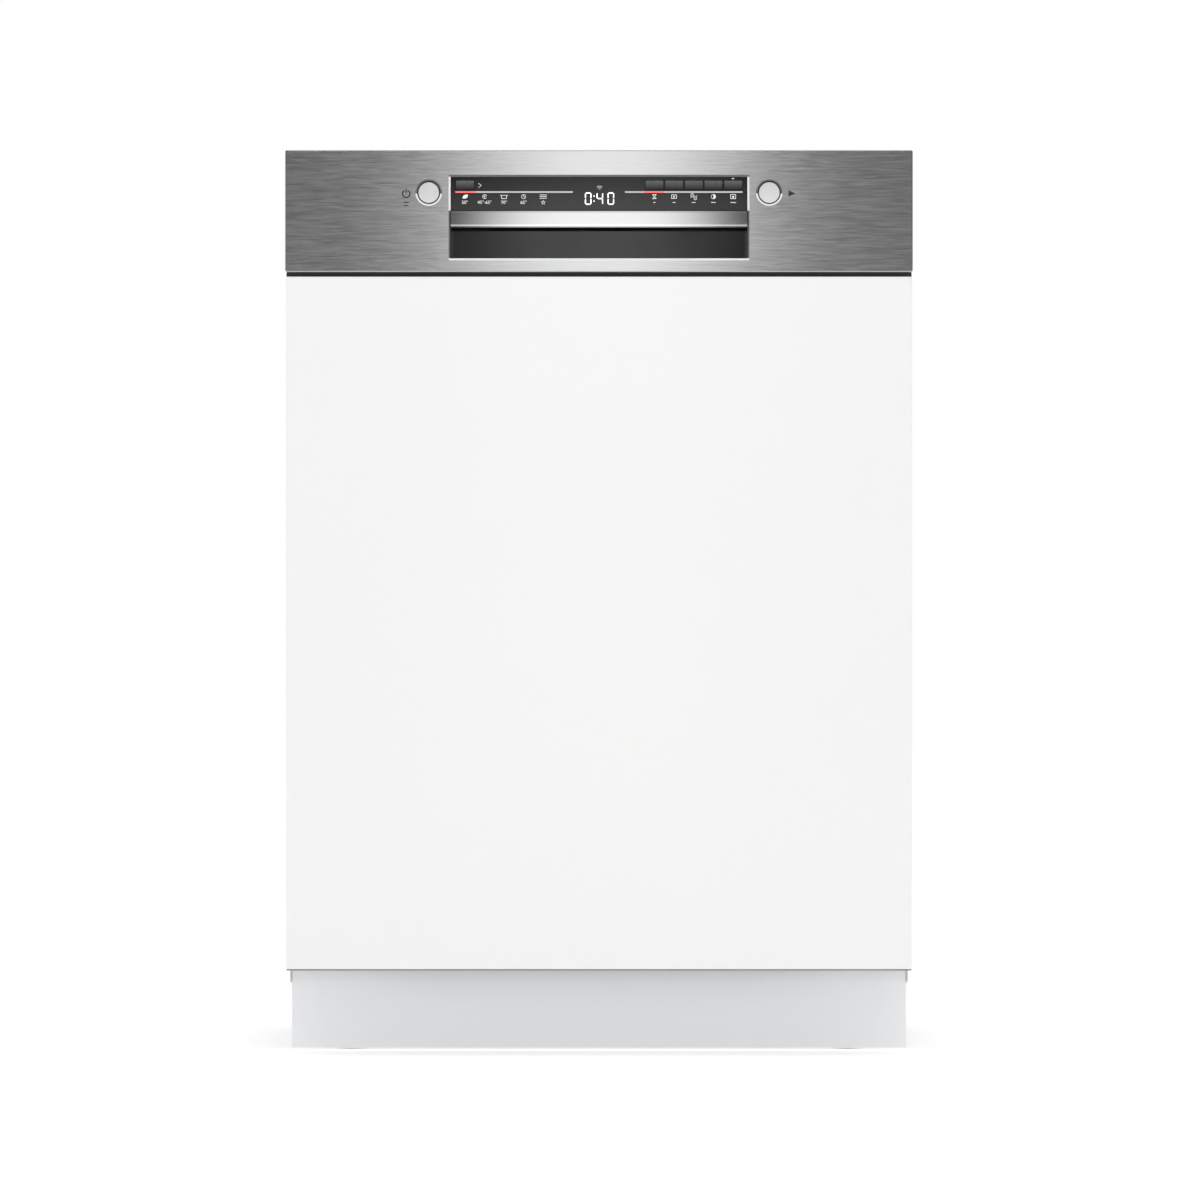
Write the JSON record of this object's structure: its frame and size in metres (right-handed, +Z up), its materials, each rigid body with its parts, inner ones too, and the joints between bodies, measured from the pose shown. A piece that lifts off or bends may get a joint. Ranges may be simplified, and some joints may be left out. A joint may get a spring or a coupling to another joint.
{
  "type": "built-in dishwasher",
  "caption": "Built-in dishwasher with a steel control fascia over a white furniture panel, a drop-down door, pull-out wire racks, turning spray arms and sprung buttons.",
  "frame": {"origin": "on the floor under the middle of the machine", "axes": "+X to the right seen from the front, -Y out of the front, +Z up"},
  "size_m": [0.598, 0.5741, 0.864],
  "materials": {
    "brushed_steel_front": "horizontally brushed",
    "black_moulding": "fine satin grain",
    "black_gloss": "polished",
    "satin_aluminium": "satin anodised",
    "white_lacquer": "white lacquered board",
    "stainless": "bright cold rolled",
    "galvanised": "zinc coated",
    "seal_rubber": "matt",
    "base_plastic": "moulded",
    "grey_plastic": "moulded",
    "white_plastic": "moulded",
    "coated_wire": "nylon coated steel wire",
    "bitumen": "bitumen mat",
    "circuit_board": "solder mask",
    "spring_steel": "bare"
  },
  "bodies": {
    "root": {"base_tray": "base_plastic", "circulation_pump": "base_plastic", "door_gasket": "seal_rubber", "door_springs": "spring_steel", "drain_pump": "grey_plastic", "flat_filter": "stainless", "heat_exchanger": "white_plastic", "hinge_brackets": "galvanised", "latch_strike": "stainless", "mains_terminal_box": "base_plastic", "plinth_panel": "white_lacquer", "side_panel_left": "galvanised", "side_panel_right": "galvanised", "sound_mats": "bitumen", "spray_riser_pipe": "grey_plastic", "sump_housing": "grey_plastic", "top_cross_rail": "galvanised", "tub_floor": "stainless", "tub_rear_wall": "stainless", "tub_shell": "stainless", "upper_rack_guide_rails": "stainless", "water_inlet_valve": "white_plastic", "water_softener": "white_plastic"},
    "door": {"fascia_panel": "brushed_steel_front", "fascia_carrier": "black_moulding", "display_window": "black_gloss", "handle_bar": "satin_aluminium", "furniture_panel": "white_lacquer", "outer_door_sheet": "galvanised", "inner_door_liner": "stainless", "door_screws": "stainless", "detergent_dispenser": "grey_plastic", "control_board": "circuit_board", "door_lock": "base_plastic", "door_hinge_arms": "galvanised"},
    "power_button": {"power_button": "satin_aluminium"},
    "start_button": {"start_button": "satin_aluminium"},
    "programme_button": {"programme_button": "black_gloss"},
    "option_button_1": {"option_button_1": "black_gloss"},
    "option_button_2": {"option_button_2": "black_gloss"},
    "option_button_3": {"option_button_3": "black_gloss"},
    "option_button_4": {"option_button_4": "black_gloss"},
    "option_button_5": {"option_button_5": "black_gloss"},
    "detergent_lid": {"detergent_lid": "grey_plastic"},
    "rinse_aid_cap": {"rinse_aid_cap": "grey_plastic"},
    "upper_rack": {"upper_rack": "coated_wire"},
    "upper_rack_runners": {"upper_rack_runners": "stainless"},
    "cup_shelf": {"cup_shelf": "grey_plastic"},
    "upper_spray_arm": {"upper_spray_arm": "grey_plastic"},
    "lower_rack": {"lower_rack": "coated_wire"},
    "folding_tines": {"lower_rack_folding_tines": "coated_wire"},
    "front_wheels": {"lower_rack_front_wheels": "grey_plastic"},
    "rear_wheels": {"lower_rack_rear_wheels": "grey_plastic"},
    "cutlery_basket": {"cutlery_basket": "grey_plastic"},
    "lower_spray_arm": {"lower_spray_arm": "grey_plastic"},
    "filter_cylinder": {"filter_cylinder": "grey_plastic"},
    "salt_cap": {"salt_cap": "white_plastic"},
    "foot_front_left": {"foot_front_left": "base_plastic"},
    "foot_front_right": {"foot_front_right": "base_plastic"},
    "foot_rear": {"foot_rear": "base_plastic"}
  },
  "joints": [
    {"name": "door_hinge", "type": "hinge", "parent": "root", "child": "door", "pos_m": [0, -0.236, 0.126], "axis": [1, 0, 0], "range_deg": [0, 90], "deforming": ["door_springs"]},
    {"name": "power_button_press", "type": "slide", "parent": "door", "child": "power_button", "axis": [0, 1, 0], "range_m": [0, 0.0025], "stiffness_N_per_m": 900, "springref_m": -0.001},
    {"name": "start_button_press", "type": "slide", "parent": "door", "child": "start_button", "axis": [0, 1, 0], "range_m": [0, 0.0025], "stiffness_N_per_m": 900, "springref_m": -0.001},
    {"name": "programme_button_press", "type": "slide", "parent": "door", "child": "programme_button", "axis": [0, 1, 0], "range_m": [0, 0.0012], "stiffness_N_per_m": 1500, "springref_m": -0.0006},
    {"name": "option_button_1_press", "type": "slide", "parent": "door", "child": "option_button_1", "axis": [0, 1, 0], "range_m": [0, 0.0012], "stiffness_N_per_m": 1500, "springref_m": -0.0006},
    {"name": "option_button_2_press", "type": "slide", "parent": "door", "child": "option_button_2", "axis": [0, 1, 0], "range_m": [0, 0.0012], "stiffness_N_per_m": 1500, "springref_m": -0.0006},
    {"name": "option_button_3_press", "type": "slide", "parent": "door", "child": "option_button_3", "axis": [0, 1, 0], "range_m": [0, 0.0012], "stiffness_N_per_m": 1500, "springref_m": -0.0006},
    {"name": "option_button_4_press", "type": "slide", "parent": "door", "child": "option_button_4", "axis": [0, 1, 0], "range_m": [0, 0.0012], "stiffness_N_per_m": 1500, "springref_m": -0.0006},
    {"name": "option_button_5_press", "type": "slide", "parent": "door", "child": "option_button_5", "axis": [0, 1, 0], "range_m": [0, 0.0012], "stiffness_N_per_m": 1500, "springref_m": -0.0006},
    {"name": "detergent_lid_slide", "type": "slide", "parent": "door", "child": "detergent_lid", "axis": [0, 0, -1], "range_m": [0, 0.06]},
    {"name": "rinse_aid_cap_turn", "type": "hinge", "parent": "door", "child": "rinse_aid_cap", "pos_m": [0.05, -0.21, 0.49], "axis": [0, 1, 0], "range_deg": [0, 90]},
    {"name": "upper_rack_slide", "type": "slide", "parent": "root", "child": "upper_rack", "axis": [0, -1, 0], "range_m": [0, 0.421]},
    {"name": "upper_runner_slide", "type": "slide", "parent": "root", "child": "upper_rack_runners", "axis": [0, -1, 0], "range_m": [0, 0.2105]},
    {"name": "cup_shelf_fold", "type": "hinge", "parent": "upper_rack", "child": "cup_shelf", "pos_m": [0.235, 0, 0.64], "axis": [0, 1, 0], "range_deg": [0, 80]},
    {"name": "upper_spray_arm_spin", "type": "hinge", "parent": "upper_rack", "child": "upper_spray_arm", "pos_m": [0, 0.008, 0.51], "axis": [0, 0, 1], "continuous": true},
    {"name": "lower_rack_slide", "type": "slide", "parent": "root", "child": "lower_rack", "axis": [0, -1, 0], "range_m": [0, 0.134]},
    {"name": "front_wheels_roll", "type": "hinge", "parent": "lower_rack", "child": "front_wheels", "pos_m": [0, -0.095, 0.173], "axis": [1, 0, 0], "range_deg": [0, 386]},
    {"name": "rear_wheels_roll", "type": "hinge", "parent": "lower_rack", "child": "rear_wheels", "pos_m": [0, 0.15, 0.173], "axis": [1, 0, 0], "range_deg": [0, 386]},
    {"name": "folding_tines_fold", "type": "hinge", "parent": "lower_rack", "child": "folding_tines", "pos_m": [0.02, 0, 0.2002], "axis": [0, -1, 0], "range_deg": [0, 88]},
    {"name": "cutlery_basket_lift", "type": "slide", "parent": "lower_rack", "child": "cutlery_basket", "axis": [0, 0, 1], "range_m": [0, 0.12]},
    {"name": "lower_spray_arm_spin", "type": "hinge", "parent": "root", "child": "lower_spray_arm", "pos_m": [0, 0.008, 0.165], "axis": [0, 0, 1], "continuous": true},
    {"name": "filter_cylinder_turn", "type": "hinge", "parent": "root", "child": "filter_cylinder", "pos_m": [0.105, -0.02, 0.12], "axis": [0, 0, 1], "range_deg": [0, 90]},
    {"name": "salt_cap_turn", "type": "hinge", "parent": "root", "child": "salt_cap", "pos_m": [-0.15, 0.06, 0.145], "axis": [0, 0, 1], "range_deg": [0, 120]},
    {"name": "foot_front_left_adjust", "type": "slide", "parent": "root", "child": "foot_front_left", "axis": [0, 0, 1], "range_m": [-0.011, 0.045]},
    {"name": "foot_front_right_adjust", "type": "slide", "parent": "root", "child": "foot_front_right", "axis": [0, 0, 1], "range_m": [-0.011, 0.045]},
    {"name": "foot_rear_adjust", "type": "slide", "parent": "root", "child": "foot_rear", "axis": [0, 0, 1], "range_m": [-0.011, 0.045]}
  ],
  "couplings": [
    {"joint": "upper_rack_slide", "follows": "door_hinge", "m_per_rad": 0.2674},
    {"joint": "upper_runner_slide", "follows": "door_hinge", "m_per_rad": 0.1337},
    {"joint": "lower_rack_slide", "follows": "door_hinge", "m_per_rad": 0.085},
    {"joint": "front_wheels_roll", "follows": "door_hinge", "ratio": 4.25},
    {"joint": "rear_wheels_roll", "follows": "door_hinge", "ratio": 4.25}
  ]
}
